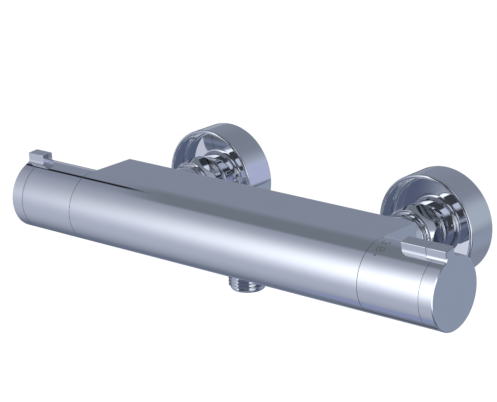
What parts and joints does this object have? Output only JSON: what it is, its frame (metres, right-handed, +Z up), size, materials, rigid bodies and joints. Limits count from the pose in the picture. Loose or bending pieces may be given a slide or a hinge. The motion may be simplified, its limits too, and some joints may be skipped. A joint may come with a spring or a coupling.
{
  "type": "thermostatic shower valve",
  "caption": "Wall-mounted round bar shower mixer with a flow handle, a temperature handle with a safety button, wall unions with cup escutcheons and a threaded hose outlet below.",
  "frame": {"origin": "on the finished wall, midway between the two inlets, at the height of the bar's axis", "axes": "+X along the bar to the temperature handle, +Y into the wall, +Z up"},
  "size_m": [0.2856, 0.1265, 0.0617],
  "materials": {
    "chrome": "polished plating on brass",
    "brass": "turned",
    "steel": "bright drawn",
    "rubber": "matt",
    "grey_plastic": "moulded",
    "white_plastic": "moulded",
    "ceramic": "lapped",
    "copper": "drawn"
  },
  "bodies": {
    "valve": {"check_cage_cold": "white_plastic", "check_cage_hot": "white_plastic", "check_spring_cold": "steel", "check_spring_hot": "steel", "disc_seal": "rubber", "escutcheon_cold": "chrome", "escutcheon_hot": "chrome", "fixed_disc": "ceramic", "headwork_housing": "brass", "headwork_o_rings": "rubber", "inlet_strainer_cold": "steel", "inlet_strainer_hot": "steel", "inlet_tail_cold": "brass", "inlet_tail_hot": "brass", "inlet_washer_cold": "rubber", "inlet_washer_hot": "rubber", "outlet_nipple": "chrome", "outlet_seal": "rubber", "return_spring": "steel", "spring_retainer": "brass", "stop_ring": "white_plastic", "thermostat_housing": "brass", "thermostat_nut": "brass", "thermostat_o_rings": "rubber", "union_nut_cold": "chrome", "union_nut_hot": "chrome", "valve_body": "chrome", "wall_union_cold": "chrome", "wall_union_hot": "chrome"},
    "flow_control": {"flow_sleeve": "chrome", "flow_hub": "grey_plastic", "flow_screw": "steel", "flow_end_cap": "chrome", "headwork_spindle": "brass", "headwork_clip": "steel", "moving_disc": "ceramic"},
    "temperature_control": {"temperature_sleeve": "chrome", "temperature_hub": "grey_plastic", "temperature_screw": "steel", "temperature_end_cap": "chrome", "temperature_spindle": "brass", "temperature_clip": "steel", "button_spring": "steel"},
    "safety_button": {"safety_button": "chrome"},
    "thermostat_slider": {"wax_element": "copper", "thermostat_shuttle": "white_plastic", "thrust_cup": "grey_plastic", "overtravel_spring": "steel"},
    "check_poppet_hot": {"check_poppet_hot": "grey_plastic"},
    "check_poppet_cold": {"check_poppet_cold": "grey_plastic"}
  },
  "joints": [
    {"name": "flow_handle_turn", "type": "hinge", "parent": "valve", "child": "flow_control", "pos_m": [-0.12, -0.092, 0], "axis": [-1, 0, 0], "range_deg": [0, 90]},
    {"name": "temperature_turn", "type": "hinge", "parent": "valve", "child": "temperature_control", "pos_m": [0.12, -0.092, 0], "axis": [1, 0, 0], "range_deg": [-200, 40]},
    {"name": "safety_button_press", "type": "slide", "parent": "temperature_control", "child": "safety_button", "axis": [0, 0.1822, -0.9833], "range_m": [0, 0.0025], "stiffness_N_per_m": 500, "springref_m": -0.002, "deforming": ["button_spring"]},
    {"name": "thermostat_shift", "type": "slide", "parent": "valve", "child": "thermostat_slider", "axis": [1, 0, 0], "range_m": [-0.00084, 0.00017], "deforming": ["return_spring"]},
    {"name": "check_hot_open", "type": "slide", "parent": "valve", "child": "check_poppet_hot", "axis": [0, -1, 0], "range_m": [0, 0.003], "stiffness_N_per_m": 60, "springref_m": -0.002, "deforming": ["check_spring_hot"]},
    {"name": "check_cold_open", "type": "slide", "parent": "valve", "child": "check_poppet_cold", "axis": [0, -1, 0], "range_m": [0, 0.003], "stiffness_N_per_m": 60, "springref_m": -0.002, "deforming": ["check_spring_cold"]}
  ],
  "couplings": [
    {"joint": "thermostat_shift", "follows": "temperature_turn", "m_per_rad": 0.000239}
  ]
}
